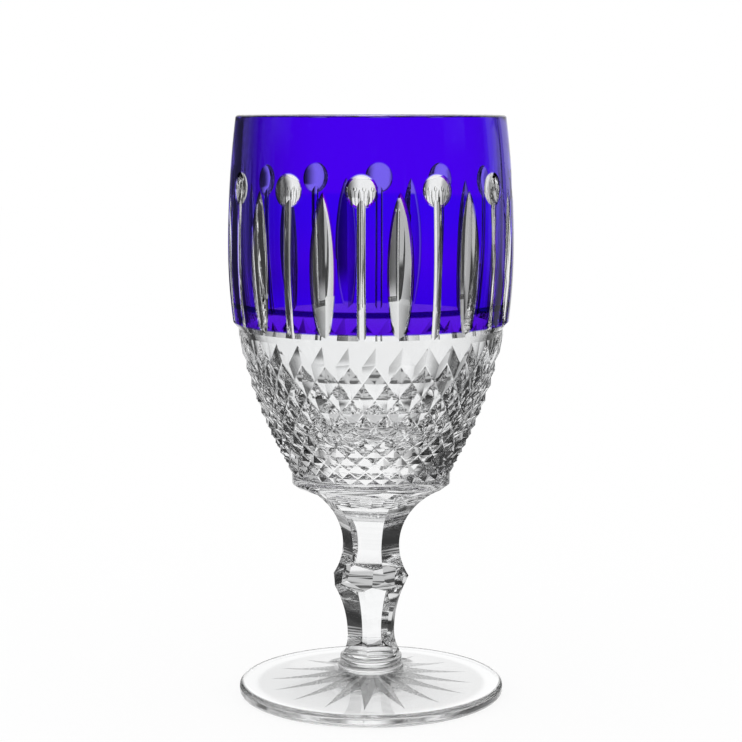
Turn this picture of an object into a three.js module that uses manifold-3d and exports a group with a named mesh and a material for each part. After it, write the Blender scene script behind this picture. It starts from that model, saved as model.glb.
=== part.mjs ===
// A cased and cut crystal goblet for cold drinks: a clear bowl under a cobalt skin, on a faceted stem,
// a collar and a star-cut foot. Millimetres, +Z up, the front towards -Y. The origin is the centre of
// the plane that the foot stands on.

import * as THREE from "three";
import { mergeVertices } from "three/addons/utils/BufferGeometryUtils.js";
import Module from "manifold-3d";

const wasm = await Module();
wasm.setup();

const { lerp, degToRad } = THREE.MathUtils;

// Foot: a disc that thickens to a hub, with a shallow dish and a star of mitre cuts underneath
const FOOT_RADIUS = 41.3;
const FOOT_EDGE_THICKNESS = 3.8;
const FOOT_EDGE_ROUND = 1.5;
const FOOT_HUB_RADIUS = 11.5;
const FOOT_HUB_THICKNESS = 7.4;
const FOOT_TOP_SAG = 1.1;
const FOOT_DISH_RADIUS = 35.5;
const FOOT_DISH_DEPTH = 0.2;
const STAR_RAYS = 16;
const STAR_RADIUS = 32.5;
const STAR_HALF_WIDTH = 4.2;
const STAR_DEPTH = 2.0;

// Collar: the two-step wafer of glass between the foot and the stem
const COLLAR_LOWER_RADIUS = 10.3;
const COLLAR_UPPER_RADIUS = 9.7;
const COLLAR_LOWER_HEIGHT = 2.2;
const COLLAR_UPPER_HEIGHT = 2.6;
const COLLAR_EDGE_ROUND = 0.9;
const COLLAR_GROOVE_ANGLE = 60;

// Stem: six wheel-cut flutes above the knop and six below it, half a facet round
const STEM_LENGTH = 54.7;
const STEM_SIDES = 6;
const STEM_TURN = degToRad(-5.3);
const STEM_BLANK_RADIUS = 13.0;
const STEM_CONE_HEIGHT = 9.0;
const UPPER_WAIST_HEIGHT = 34.8;
const UPPER_WAIST_APOTHEM = 7.7;
const UPPER_WHEEL_RADIUS = 19.5;
const LOWER_WAIST_HEIGHT = 6.5;
const LOWER_WAIST_APOTHEM = 6.75;
const LOWER_WHEEL_RADIUS = 36.5;
const LOWER_TOE_RADIUS = 14.0;

// Bowl: lip, diamond field, polished neck, bevel and coloured band stack up from the joint with the stem
const LIP_RADIUS = 24.6;
const LIP_HEIGHT = 3.1;
const FIELD_HEIGHT = 43.3;
const FIELD_BULGE = 2.4;
const NECK_RADIUS = 40.7;
const NECK_HEIGHT = 1.9;
const BEVEL_HEIGHT = 2.1;
const BAND_HEIGHT = 62.7;
const BELLY_RADIUS = 43.85;
const BELLY_ABOVE_BEVEL = 21.7;
const BELLY_CURVE_ABOVE = 318;
const BELLY_CURVE_BELOW = 170;
const RIM_WALL = 2.6;
const RIM_ROUND = 0.9;
const FIELD_WALL = 4.6;
const BOWL_FLOOR_THICKNESS = 10.5;

// Colour casing: the cobalt skin over the band, and the bond that holds it
const CASING_THICKNESS = 0.5;
const BOND_GAP = 0.3;

// Diamond field: crossing V cuts that leave staggered rows of four-sided points
const DIAMONDS_AROUND = 32;
const DIAMOND_STEPS = 12;
const DIAMOND_DEPTH = 1.4;

// Cuts through the casing: round lenses on pins, with a lancet between each two
const CUT_COUNT = 12;
const LENS_BELOW_RIM = 21.2;
const LENS_WHEEL_RADIUS = 8.0;
const LENS_DEPTH = 1.8;
const PIN_WHEEL_RADIUS = 1.3;
const PIN_SINK = 0.1;
const LANCET_TIP_BELOW_RIM = 21.8;
const LANCET_LENGTH = 46.0;
const LANCET_DEPTH = 2.5;
const LANCET_HALF_ANGLE = degToRad(60);
const LANCET_FULLNESS = 0.75;

// Fineness of the faceted surfaces, and how far a tool stands clear of the glass
const LINER_SIDES = 2 * DIAMONDS_AROUND;
const ROUND_SIDES = 48;
const COLLAR_SIDES = 32;
const LENS_SIDES = 10;
const PIN_SIDES = 8;
const EDGE_STEPS = 2;
const BAND_STEPS = 2;
const CURVE_STEPS = 4;
const FLOOR_STEPS = 8;
const FLUTE_STEPS = 8;
const LANCET_STEPS = 6;
const INTEGRAL_STEPS = 400;
const TOOL_REACH = 2.0;
const WELD = 1e-4;

// Levels in the bowl's own frame
const SHOULDER = LIP_HEIGHT + FIELD_HEIGHT;
const NECK_TOP = SHOULDER + NECK_HEIGHT;
const BAND_BOTTOM = NECK_TOP + BEVEL_HEIGHT;
const BELLY = BAND_BOTTOM + BELLY_ABOVE_BEVEL;
const RIM = BAND_BOTTOM + BAND_HEIGHT;
const RIM_EDGE = RIM - RIM_ROUND;
const BAND_LEVELS = [[BAND_BOTTOM, BELLY], [BELLY, RIM_EDGE]];

const FRONT = -Math.PI / 2;
const point = (radius, height) => new THREE.Vector2(radius, height);
const steps = (count) => Array.from({ length: count + 1 }, (_, i) => i / count);
const turns = (count) => Array.from({ length: count }, (_, i) => (i / count) * 2 * Math.PI);

// Outside of the coloured band, barrel shaped
function bandRadius(height) {
  const curve = height > BELLY ? BELLY_CURVE_ABOVE : BELLY_CURVE_BELOW;
  return BELLY_RADIUS - (height - BELLY) ** 2 / (2 * curve);
}

// Tips of the diamonds, between the lip and the neck
function fieldRadius(height) {
  const t = (height - LIP_HEIGHT) / FIELD_HEIGHT;
  return lerp(LIP_RADIUS, NECK_RADIUS, t) + FIELD_BULGE * 4 * t * (1 - t);
}

// Height at which the bevel under the band has a radius, in the casing and on into the clear glass
function bevelHeight(radius) {
  const share = (radius - NECK_RADIUS) / (bandRadius(BAND_BOTTOM) - NECK_RADIUS);
  return NECK_TOP + share * BEVEL_HEIGHT;
}

// Inside of the bowl: a wall that thins to the rim, and below it a round floor that meets it in line
function innerRadius(height) {
  const wall = (h) => lerp(FIELD_WALL, RIM_WALL, (h - SHOULDER) / (RIM - SHOULDER));
  const above = (h) => bandRadius(h) - wall(h);
  if (height >= SHOULDER) return above(height);
  const depth = SHOULDER - BOWL_FLOOR_THICKNESS;
  const u = (SHOULDER - height) / depth;
  const slope = above(SHOULDER + 1) - above(SHOULDER);
  return above(SHOULDER) * Math.sqrt(Math.max(0, 1 - u * u)) - slope * depth * u * (1 - u);
}

// Heights up the band, with one at its widest ring
function bandHeights() {
  return BAND_LEVELS.flatMap(([low, high], part) => {
    return steps(BAND_STEPS).slice(part).map((t) => lerp(low, high, t));
  });
}

// Half the thickness of the rim where its rounding starts
function rimHalf() {
  return (bandRadius(RIM_EDGE) - innerRadius(RIM_EDGE)) / 2;
}

// Round top of the rim, from the outside at a turn of 0 to the inside at half a turn
function rimCrest(angle) {
  const radius = bandRadius(RIM_EDGE) - rimHalf() * (1 - Math.cos(angle));
  return point(radius, RIM_EDGE + RIM_ROUND * Math.sin(angle));
}

// The place on the rim's round top over a radius in its outer half
function crestOver(radius) {
  return rimCrest(Math.acos(1 - (bandRadius(RIM_EDGE) - radius) / rimHalf()));
}

// Heights of the diamond rows: each step follows the square of the radius, so the points flatten downwards
function diamondHeights() {
  const samples = steps(INTEGRAL_STEPS).map((t) => LIP_HEIGHT + t * FIELD_HEIGHT);
  const reach = [0];
  for (let i = 1; i < samples.length; i += 1) {
    const rise = samples[i] - samples[i - 1];
    const run = fieldRadius(samples[i]) - fieldRadius(samples[i - 1]);
    reach.push(reach[i - 1] + Math.hypot(rise, run) / fieldRadius(samples[i]) ** 2);
  }
  const whole = reach[INTEGRAL_STEPS];
  return steps(DIAMOND_STEPS).slice(1, -1).map((t) => {
    const i = reach.findIndex((value) => value >= t * whole);
    return lerp(samples[i - 1], samples[i], (t * whole - reach[i - 1]) / (reach[i] - reach[i - 1]));
  });
}

// A closed solid through rings of points, anticlockwise from above, each quad split on its short diagonal
function loft(rings) {
  const count = rings[0].length;
  const last = (rings.length - 1) * count;
  const middle = (ring) => ring.reduce((sum, p) => sum.add(p), new THREE.Vector3()).divideScalar(count);
  const vertices = [...rings.flat(), middle(rings[0]), middle(rings[rings.length - 1])];
  const [start, end] = [last + count, last + count + 1];
  const index = [];
  for (let k = 0; k < count; k += 1) {
    const next = (k + 1) % count;
    index.push(start, next, k, end, last + k, last + next);
    for (let row = 0; row < last; row += count) {
      const [a, b, c, d] = [row + k, row + next, row + count + next, row + count + k];
      const spare = vertices[a].distanceTo(vertices[c]) - vertices[b].distanceTo(vertices[d]);
      index.push(...(spare > WELD ? [a, b, d, b, c, d] : [a, b, c, a, c, d]));
    }
  }
  return new THREE.BufferGeometry().setFromPoints(vertices).setIndex(index);
}

// A solid of revolution about Z from its profile, with a corner towards the front
function turned(profile, sides = ROUND_SIDES) {
  return new THREE.LatheGeometry(profile, sides).rotateX(Math.PI / 2);
}

function toSolid(geometry) {
  const bare = new THREE.BufferGeometry().setAttribute("position", geometry.getAttribute("position"));
  const merged = mergeVertices(bare.setIndex(geometry.getIndex()), WELD);
  const vertProperties = merged.getAttribute("position").array;
  const triVerts = merged.getIndex().array;
  return new wasm.Manifold(new wasm.Mesh({ numProp: 3, vertProperties, triVerts }));
}

function toGeometry(solid) {
  const { vertProperties, triVerts } = solid.getMesh();
  const geometry = new THREE.BufferGeometry();
  geometry.setAttribute("position", new THREE.BufferAttribute(vertProperties, 3));
  geometry.setIndex(new THREE.BufferAttribute(triVerts, 1));
  geometry.computeVertexNormals();
  return geometry;
}

function cut(blank, tools) {
  return toGeometry(tools.reduce((solid, tool) => solid.subtract(toSolid(tool)), toSolid(blank)));
}

// A round edge of a profile, between two directions in degrees up from the horizontal
function roundEdge(radius, height, round, from, to) {
  return steps(EDGE_STEPS).map((t) => {
    const angle = degToRad(lerp(from, to, t));
    return point(radius + round * Math.cos(angle), height + round * Math.sin(angle));
  });
}

function footGeometry() {
  const rim = FOOT_RADIUS - FOOT_EDGE_ROUND;
  const upperEdge = FOOT_EDGE_THICKNESS - FOOT_EDGE_ROUND;
  const dish = steps(CURVE_STEPS).map((t) => point(FOOT_DISH_RADIUS * t, FOOT_DISH_DEPTH * (1 - t * t)));
  const top = steps(CURVE_STEPS).map((t) => {
    const sag = FOOT_TOP_SAG * 4 * t * (1 - t);
    return point(lerp(rim, FOOT_HUB_RADIUS, t), lerp(FOOT_EDGE_THICKNESS, FOOT_HUB_THICKNESS, t) - sag);
  });
  const disc = turned([
    ...dish,
    ...roundEdge(rim, FOOT_EDGE_ROUND, FOOT_EDGE_ROUND, -90, 0),
    ...roundEdge(rim, upperEdge, FOOT_EDGE_ROUND, 0, 90),
    ...top,
    point(0, FOOT_HUB_THICKNESS),
  ]);
  const rays = turns(STAR_RAYS).map((angle) => {
    const ray = new THREE.ConeGeometry(1, STAR_RADIUS, 4).translate(0, STAR_RADIUS / 2, 0);
    return ray.scale(STAR_HALF_WIDTH, 1, STAR_DEPTH).rotateZ(angle);
  });
  return cut(disc, rays);
}

function collarGeometry() {
  const round = COLLAR_EDGE_ROUND;
  const lower = COLLAR_LOWER_RADIUS - round;
  const upper = COLLAR_UPPER_RADIUS - round;
  const top = COLLAR_LOWER_HEIGHT + COLLAR_UPPER_HEIGHT;
  const profile = [
    point(0, 0),
    ...roundEdge(lower, round, round, -90, 0),
    ...roundEdge(lower, COLLAR_LOWER_HEIGHT - round, round, 0, COLLAR_GROOVE_ANGLE),
    ...roundEdge(upper, COLLAR_LOWER_HEIGHT + round, round, -COLLAR_GROOVE_ANGLE, 0),
    ...roundEdge(upper, top - round, round, 0, 90),
    point(0, top),
  ];
  return turned(profile, COLLAR_SIDES);
}

// Apothems along one side of a flute, from its waist out to a limit, as the wheel curves away
function fluteFlank(height, apothem, wheel, limit, direction) {
  const swell = Math.min(limit - apothem, wheel);
  const sweep = Math.acos(1 - swell / wheel);
  const flank = steps(FLUTE_STEPS).map((t) => {
    const angle = t * sweep;
    return point(apothem + wheel * (1 - Math.cos(angle)), height + direction * wheel * Math.sin(angle));
  });
  return direction < 0 ? flank.reverse().slice(0, -1) : flank;
}

// A fluted prism from the flanks below and above its waist, running on past both ends of the stem
function flutedPrism(below, above) {
  const corner = 1 / Math.cos(Math.PI / STEM_SIDES);
  const [first, last] = [below[0], above[above.length - 1]];
  const [bottom, top] = [first.y - STEM_LENGTH, last.y + STEM_LENGTH];
  const outline = [point(first.x, bottom), ...below, ...above, point(last.x, top)];
  const sides = outline.map((p) => point(p.x * corner, p.y));
  return turned([point(0, bottom), ...sides, point(0, top)], STEM_SIDES);
}

// The round blank, cut by the flutes of both tiers, whose flats meet in the zigzag edge of the knop
function stemGeometry() {
  const clear = LIP_RADIUS + TOOL_REACH;
  const blank = turned([
    point(0, 0),
    point(STEM_BLANK_RADIUS, 0),
    point(STEM_BLANK_RADIUS, STEM_LENGTH - STEM_CONE_HEIGHT),
    point(LIP_RADIUS, STEM_LENGTH),
    point(0, STEM_LENGTH),
  ]);
  const upper = flutedPrism(
    fluteFlank(UPPER_WAIST_HEIGHT, UPPER_WAIST_APOTHEM, UPPER_WHEEL_RADIUS, clear, -1),
    fluteFlank(UPPER_WAIST_HEIGHT, UPPER_WAIST_APOTHEM, UPPER_WHEEL_RADIUS, clear, 1),
  ).rotateZ(Math.PI / STEM_SIDES);
  const lower = flutedPrism(
    fluteFlank(LOWER_WAIST_HEIGHT, LOWER_WAIST_APOTHEM, LOWER_TOE_RADIUS, clear, -1),
    fluteFlank(LOWER_WAIST_HEIGHT, LOWER_WAIST_APOTHEM, LOWER_WHEEL_RADIUS, clear, 1),
  );
  return toGeometry(toSolid(blank).intersect(toSolid(upper)).intersect(toSolid(lower)));
}

// A spherical wheel that sinks a round lens into the band
function lensTool() {
  const height = RIM - LENS_BELOW_RIM;
  const wheel = new THREE.SphereGeometry(LENS_WHEEL_RADIUS, LENS_SIDES, LENS_SIDES).rotateZ(Math.PI / 2);
  return wheel.translate(bandRadius(height) + LENS_WHEEL_RADIUS - LENS_DEPTH, 0, height);
}

// A round groove from the middle of the lens down the band, running out in the bevel
function pinTool() {
  return loft(steps(CURVE_STEPS).map((t) => {
    const height = lerp(NECK_TOP, RIM - LENS_BELOW_RIM, t);
    const centre = bandRadius(height) - PIN_SINK;
    return turns(PIN_SIDES).map((angle) => {
      const [out, side] = [PIN_WHEEL_RADIUS * Math.cos(angle), PIN_WHEEL_RADIUS * Math.sin(angle)];
      return new THREE.Vector3(centre + out, side, height);
    });
  }));
}

// A leaf-shaped mitre: its V grows deeper and wider towards the middle of its length
function lancetTool() {
  const tip = RIM - LANCET_TIP_BELOW_RIM;
  return loft(steps(LANCET_STEPS).map((t) => {
    const height = lerp(tip - LANCET_LENGTH, tip, t);
    const depth = LANCET_DEPTH * (4 * t * (1 - t)) ** LANCET_FULLNESS;
    const mouth = (depth + TOOL_REACH) * Math.tan(LANCET_HALF_ANGLE);
    const inside = bandRadius(height) - depth;
    const outside = bandRadius(height) + TOOL_REACH;
    return [
      new THREE.Vector3(inside, 0, height),
      new THREE.Vector3(outside, -mouth, height),
      new THREE.Vector3(outside, mouth, height),
    ];
  }));
}

function cutTools() {
  const between = Math.PI / CUT_COUNT;
  return turns(CUT_COUNT).flatMap((turn) => [
    lensTool().rotateZ(FRONT + turn),
    pinTool().rotateZ(FRONT + turn),
    lancetTool().rotateZ(FRONT + turn + between),
  ]);
}

// The clear cup in one surface: up the outside from the lip, over the rim and down the inside
function linerGeometry() {
  const skin = CASING_THICKNESS + BOND_GAP;
  const bevelTop = bandRadius(BAND_BOTTOM) - skin;
  const ring = (radius, height) => turns(LINER_SIDES).map((turn) => {
    const angle = FRONT + turn;
    return new THREE.Vector3(radius * Math.cos(angle), radius * Math.sin(angle), height);
  });
  const diamonds = diamondHeights().map((height, row) => {
    const tips = ring(fieldRadius(height), height);
    const valleys = ring(fieldRadius(height) - DIAMOND_DEPTH, height);
    return tips.map((tip, k) => ((k + row) % 2 === 0 ? tip : valleys[k]));
  });
  const outside = bandHeights().map((height) => ring(bandRadius(height) - skin, height));
  const crest = [
    crestOver(bandRadius(RIM_EDGE) - skin),
    ...steps(EDGE_STEPS).slice(0, -1).map((t) => rimCrest(lerp(Math.PI / 2, Math.PI, t))),
  ].map((place) => ring(place.x, place.y));
  const inside = steps(CURVE_STEPS).map((t) => {
    const height = lerp(RIM_EDGE, SHOULDER, t);
    return ring(innerRadius(height), height);
  });
  const floor = steps(FLOOR_STEPS).slice(1, -1).map((t) => {
    const height = lerp(SHOULDER, BOWL_FLOOR_THICKNESS, Math.sin((t * Math.PI) / 2));
    return ring(innerRadius(height), height);
  });
  const blank = loft([
    ring(LIP_RADIUS, 0),
    ring(LIP_RADIUS, LIP_HEIGHT),
    ...diamonds,
    ring(NECK_RADIUS, SHOULDER),
    ring(NECK_RADIUS, NECK_TOP),
    ring(bevelTop, bevelHeight(bevelTop)),
    ...outside,
    ...crest,
    ...inside,
    ...floor,
  ]);
  return cut(blank, cutTools());
}

function casingGeometry() {
  const inner = (height) => bandRadius(height) - CASING_THICKNESS;
  const heel = point(inner(BAND_BOTTOM), bevelHeight(inner(BAND_BOTTOM)));
  const outside = bandHeights().map((height) => point(bandRadius(height), height));
  const inside = bandHeights().reverse().map((height) => point(inner(height), height));
  return cut(turned([heel, ...outside, crestOver(inner(RIM_EDGE)), ...inside, heel]), cutTools());
}

function crystal(color, opacity) {
  const finish = { roughness: 0.04, metalness: 0, transparent: true, flatShading: true };
  return new THREE.MeshStandardMaterial({ color, opacity, ...finish });
}

function piece(name, geometry, material, height) {
  const mesh = new THREE.Mesh(geometry, material);
  mesh.name = name;
  mesh.position.z = height;
  return mesh;
}

const clearCrystal = crystal("#f2f5f6", 0.35);
const cobaltCrystal = crystal("#2e00d6", 0.8);

const collarSeat = FOOT_HUB_THICKNESS;
const stemSeat = collarSeat + COLLAR_LOWER_HEIGHT + COLLAR_UPPER_HEIGHT;

const foot = piece("foot", footGeometry(), clearCrystal, 0);
const collar = piece("collar", collarGeometry(), clearCrystal, collarSeat);

const stem = piece("stem", stemGeometry(), clearCrystal, stemSeat);
stem.rotation.z = STEM_TURN;

const bowl = new THREE.Group();
bowl.position.z = stemSeat + STEM_LENGTH;
bowl.add(piece("bowl_liner", linerGeometry(), clearCrystal, 0));
bowl.add(piece("colour_casing", casingGeometry(), cobaltCrystal, 0));

const goblet = new THREE.Group();
goblet.add(foot, collar, stem, bowl);

export default goblet;
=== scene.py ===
import math

import bmesh
import bpy
from bpy.props import FloatProperty, FloatVectorProperty, IntProperty, PointerProperty
from mathutils import Matrix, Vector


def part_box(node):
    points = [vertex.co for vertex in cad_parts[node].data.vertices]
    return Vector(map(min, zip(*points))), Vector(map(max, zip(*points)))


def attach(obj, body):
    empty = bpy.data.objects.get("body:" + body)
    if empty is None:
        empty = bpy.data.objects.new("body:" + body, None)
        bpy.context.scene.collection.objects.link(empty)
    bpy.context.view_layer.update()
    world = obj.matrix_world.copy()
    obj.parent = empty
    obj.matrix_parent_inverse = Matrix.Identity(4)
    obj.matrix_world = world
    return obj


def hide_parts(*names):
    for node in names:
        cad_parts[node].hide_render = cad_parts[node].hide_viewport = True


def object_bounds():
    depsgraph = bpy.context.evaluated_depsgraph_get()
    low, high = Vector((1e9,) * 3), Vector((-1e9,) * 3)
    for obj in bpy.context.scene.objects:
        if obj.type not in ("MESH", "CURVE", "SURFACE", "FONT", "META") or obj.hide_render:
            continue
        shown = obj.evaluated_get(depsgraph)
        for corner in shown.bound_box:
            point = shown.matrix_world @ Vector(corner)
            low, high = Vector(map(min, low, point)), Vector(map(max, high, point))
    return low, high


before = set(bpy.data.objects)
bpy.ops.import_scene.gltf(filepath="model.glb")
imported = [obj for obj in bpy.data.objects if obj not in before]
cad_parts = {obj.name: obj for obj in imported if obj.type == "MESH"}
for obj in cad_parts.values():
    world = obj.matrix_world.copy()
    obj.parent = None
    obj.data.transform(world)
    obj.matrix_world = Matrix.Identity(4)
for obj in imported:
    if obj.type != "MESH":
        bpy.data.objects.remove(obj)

bl_info = {
    "name": "Cut Crystal Goblet",
    "version": (1, 0, 0),
    "blender": (4, 5, 0),
    "location": "View3D > Sidebar > Goblet",
    "description": "Builds a cased and cut crystal goblet on a plain studio stage",
    "category": "Add Mesh",
}

CAD_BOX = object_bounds()
MM = 0.001
WELD = 1e-6
FRONT = -math.pi / 2
ORIGIN = (0, 0, 0)
WHITE = (1.0, 1.0, 1.0, 1.0)
BLACK = (0.0, 0.0, 0.0, 1.0)

# How finely round forms are divided
ROUND_STEPS = 256
ROW_STEPS = 48
EDGE_STEPS = 8
FLUTE_STEPS = 64
LENS_STEPS = 64
PIN_STEPS = 24
FIELD_STEPS = 400
BEND_STEPS = 12

# Angles in degrees over which an edge stays crisp
CUT_EDGE = 14.0
FLUTE_EDGE = 20.0
COLLAR_EDGE = 30.0

# Small distances: for finding a ring's or a skin's faces, and for a wheel to stand clear of the stem
RING_SLACK = 0.01 * MM
SKIN_SLACK = 0.1 * MM
FLUTE_CLEAR = 2 * MM

# Parts of a skin's thickness that its crest keeps and its inner side lies under, and of a wheel's radius
# that its ridge lies within
CREST_PART = 0.9
INNER_PART = 0.95
RIDGE_PART = 0.1

# How far round the lip's top edge turns in, in degrees, and how straight down the dish's faces look
LIP_TURN = 70
DISH_NORMAL = -0.99

# Places in a piece's list of materials
POLISHED, FUSED, UNDERSIDE = range(3)


# Sizes and colours

def length(description, millimetres):
    """A length property, given in millimetres and kept in metres."""
    return FloatProperty(
        description=description, default=millimetres * MM, min=0.0, unit="LENGTH", precision=5
    )


def angle(description, degrees):
    """An angle property, given in degrees."""
    return FloatProperty(description=description, default=math.radians(degrees), subtype="ANGLE")


def share(description, value, highest):
    """A plain number property."""
    return FloatProperty(description=description, default=value, min=0.0, max=highest)


def number(description, value):
    """A whole number property."""
    return IntProperty(description=description, default=value, min=3)


def colour(description, value):
    """A linear colour property."""
    return FloatVectorProperty(
        description=description, default=value, size=3, min=0.0, max=1.0, subtype="COLOR"
    )


class BowlSizes(bpy.types.PropertyGroup):
    """Sizes of the clear bowl and the blue casing over it."""

    lip_height: length("Plain lip over the joint with the stem", 3.1)
    lip_edge: length("Rounding on top of the lip", 0.5)
    field_height: length("Height of the diamond field", 43.3)
    field_bulge: length("How far the field swells out halfway up", 2.4)
    neck_radius: length("Polished neck over the diamonds", 40.7)
    neck_height: length("Height of the polished neck", 1.9)
    bevel_height: length("Bevel from the neck out to the blue band", 2.1)
    belly_radius: length("Widest radius of the blue band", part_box("colour_casing")[1].x / MM)
    belly_above_bevel: length("Height of the widest ring over the bevel", 21.7)
    curve_above: length("Radius of the band's curve over its widest ring", 318.0)
    curve_below: length("Radius of the band's curve under its widest ring", 170.0)
    rim_wall: length("Thickness of the wall at the rim", 2.6)
    rim_round: length("Rounding of the rim", 0.9)
    field_wall: length("Thickness of the wall at the top of the field", 4.6)
    floor_thickness: length("Glass under the inside of the bowl", 10.5)
    casing_thickness: length("Thickness of the blue skin", 0.5)
    bond: length("Hair-thin seam between the blue skin and the clear bowl", 0.02)


class CutSizes(bpy.types.PropertyGroup):
    """Sizes of the wheel cuts in the bowl."""

    diamonds_around: number("Points in one row", 32)
    diamond_steps: number("Half rows up the field", 12)
    diamond_depth: length("Depth of the V cuts between the points", 1.4)
    diamond_valley: length("Half width of the polished bottom of a V cut", 0.22)
    cut_count: number("Cuts round the band", 12)
    lens_below_rim: length("From the rim to the middle of the lenses", 21.2)
    lens_wheel: length("Radius of the round wheel", 8.0)
    lens_depth: length("How deep the wheel goes in", 1.8)
    pin_wheel: length("Radius of the groove under a lens", 1.3)
    pin_sink: length("How far the groove's middle lies under the surface", 0.1)
    lancet_below_rim: length("From the rim to the tips of the lancets", 21.8)
    lancet_length: length("From the tip to the run-out in the neck", 46.0)
    lancet_depth: length("Depth halfway along", 2.5)
    lancet_angle: angle("Half the angle of the V", 60.0)
    lancet_fullness: share("Below 1 the ends are fuller", 0.75, 2.0)
    tool_reach: length("How far a wheel stands clear of the glass", 2.0)


class StemSizes(bpy.types.PropertyGroup):
    """Sizes of the faceted stem."""

    sides: number("Flutes round the stem", 6)
    turn: angle("How far the flutes are turned round the stem", -5.3)
    blank_radius: length("Round blank at the knop", 13.0)
    cone_height: length("Height of the cone under the bowl", 9.0)
    upper_waist_height: length("Narrowest place over the knop", 34.8)
    upper_waist: length("From the axis to a flat at the upper waist", 7.7)
    upper_wheel: length("Radius of the wheel over the knop", 19.5)
    lower_waist_height: length("Narrowest place under the knop", 6.5)
    lower_waist: length("From the axis to a flat at the lower waist", 6.75)
    lower_wheel: length("Radius of the wheel under the knop", 36.5)
    toe_wheel: length("Radius of the wheel at the foot of the stem", 14.0)
    edge: length("Width of the polished edges between flutes", 0.16)


class FootSizes(bpy.types.PropertyGroup):
    """Sizes of the foot and the collar on it."""

    edge_thickness: length("Thickness of the foot at its edge", 3.8)
    edge_round: length("Rounding of the foot's edge", 1.5)
    hub_radius: length("Flat hub under the collar", 11.5)
    top_sag: length("How far the top dips between the hub and the edge", 1.1)
    dish_radius: length("Hollow under the foot", 35.5)
    dish_depth: length("Depth of the hollow at its middle", 0.2)
    star_rays: number("Mitre cuts in the star", 16)
    star_radius: length("Reach of the star", 32.5)
    star_half_width: length("Half the width of a ray at the middle", 4.2)
    star_depth: length("Depth of a ray at the middle", 2.0)
    collar_lower: length("Radius of the collar's lower step", 10.3)
    collar_upper: length("Radius of the collar's upper step", 9.7)
    collar_lower_height: length("Height of the lower step", 2.2)
    collar_round: length("Rounding of the collar's steps", 0.9)
    groove_angle: angle("How far round each step runs into the groove", 60.0)


class GlassColours(bpy.types.PropertyGroup):
    """Colours and refraction of the two glasses."""

    crystal: colour("Colour that two surfaces of crystal let through", (0.97, 0.98, 0.985))
    near_blue: colour("Colour that the casing's near wall lets through", (0.21, 0.14, 0.98))
    far_blue: colour("Colour that the far wall adds behind the near one", (0.32, 0.0, 0.97))
    deep_blue: colour("Colour of one wall seen from inside the bowl", (0.09, 0.06, 0.92))
    far_cut: colour("Colour that the far wall adds behind a clear cut", (0.96, 0.96, 0.98))
    # Painted shade: low_shade makes the casing darker near the bevel
    low_shade: colour("How much darker the casing is near the bevel", (0.5, 0.05, 0.85))
    # band_shade is the colour of painted shade in the dark lines over the bevel and along the rim
    band_shade: colour("Dark lines over the bevel and along the rim", (0.05, 0.0, 0.22))
    index: share("Index of refraction of the crystal", 1.54, 3.0)


class StageSizes(bpy.types.PropertyGroup):
    """Camera and studio round the goblet."""

    distance: length("From the goblet's axis to the camera", 630.0)
    height: length("Camera height over the table", 182.0)
    turn: angle("How far the camera stands round the goblet", 3.7)
    pitch: angle("How far the camera looks down", 7.29)
    lens: FloatProperty(description="Focal length in millimetres", default=99.7, unit="CAMERA")
    floor_size: length("Half the side of the floor", 3000.0)


# Shader nodes

# Counters of a light path: surfaces crossed, fused faces passed, reflections, and all of its turns
CROSSED = "Transmission Depth"
SKINS = "Transparent Depth"
REFLECTED = "Glossy Depth"
TURNS = "Ray Depth"


class Wire:
    """A shader socket that arithmetic extends with Math nodes."""

    def __init__(self, finish, socket):
        self.finish = finish
        self.socket = socket

    def math(self, operation, *values):
        """A Math node on this socket and more values."""
        return self.finish.node("ShaderNodeMath", dict(enumerate((self, *values))), operation=operation)

    def either(self, other):
        """The larger of two values."""
        return self.math("MAXIMUM", other)

    def __add__(self, other):
        return self.math("ADD", other)

    __radd__ = __add__

    def __sub__(self, other):
        return self.math("SUBTRACT", other)

    def __rsub__(self, other):
        return self.finish.node("ShaderNodeMath", {0: other, 1: self}, operation="SUBTRACT")

    def __mul__(self, other):
        return self.math("MULTIPLY", other)

    __rmul__ = __mul__

    def __truediv__(self, other):
        return self.math("DIVIDE", other)

    def __pow__(self, other):
        return self.math("POWER", other)


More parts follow.
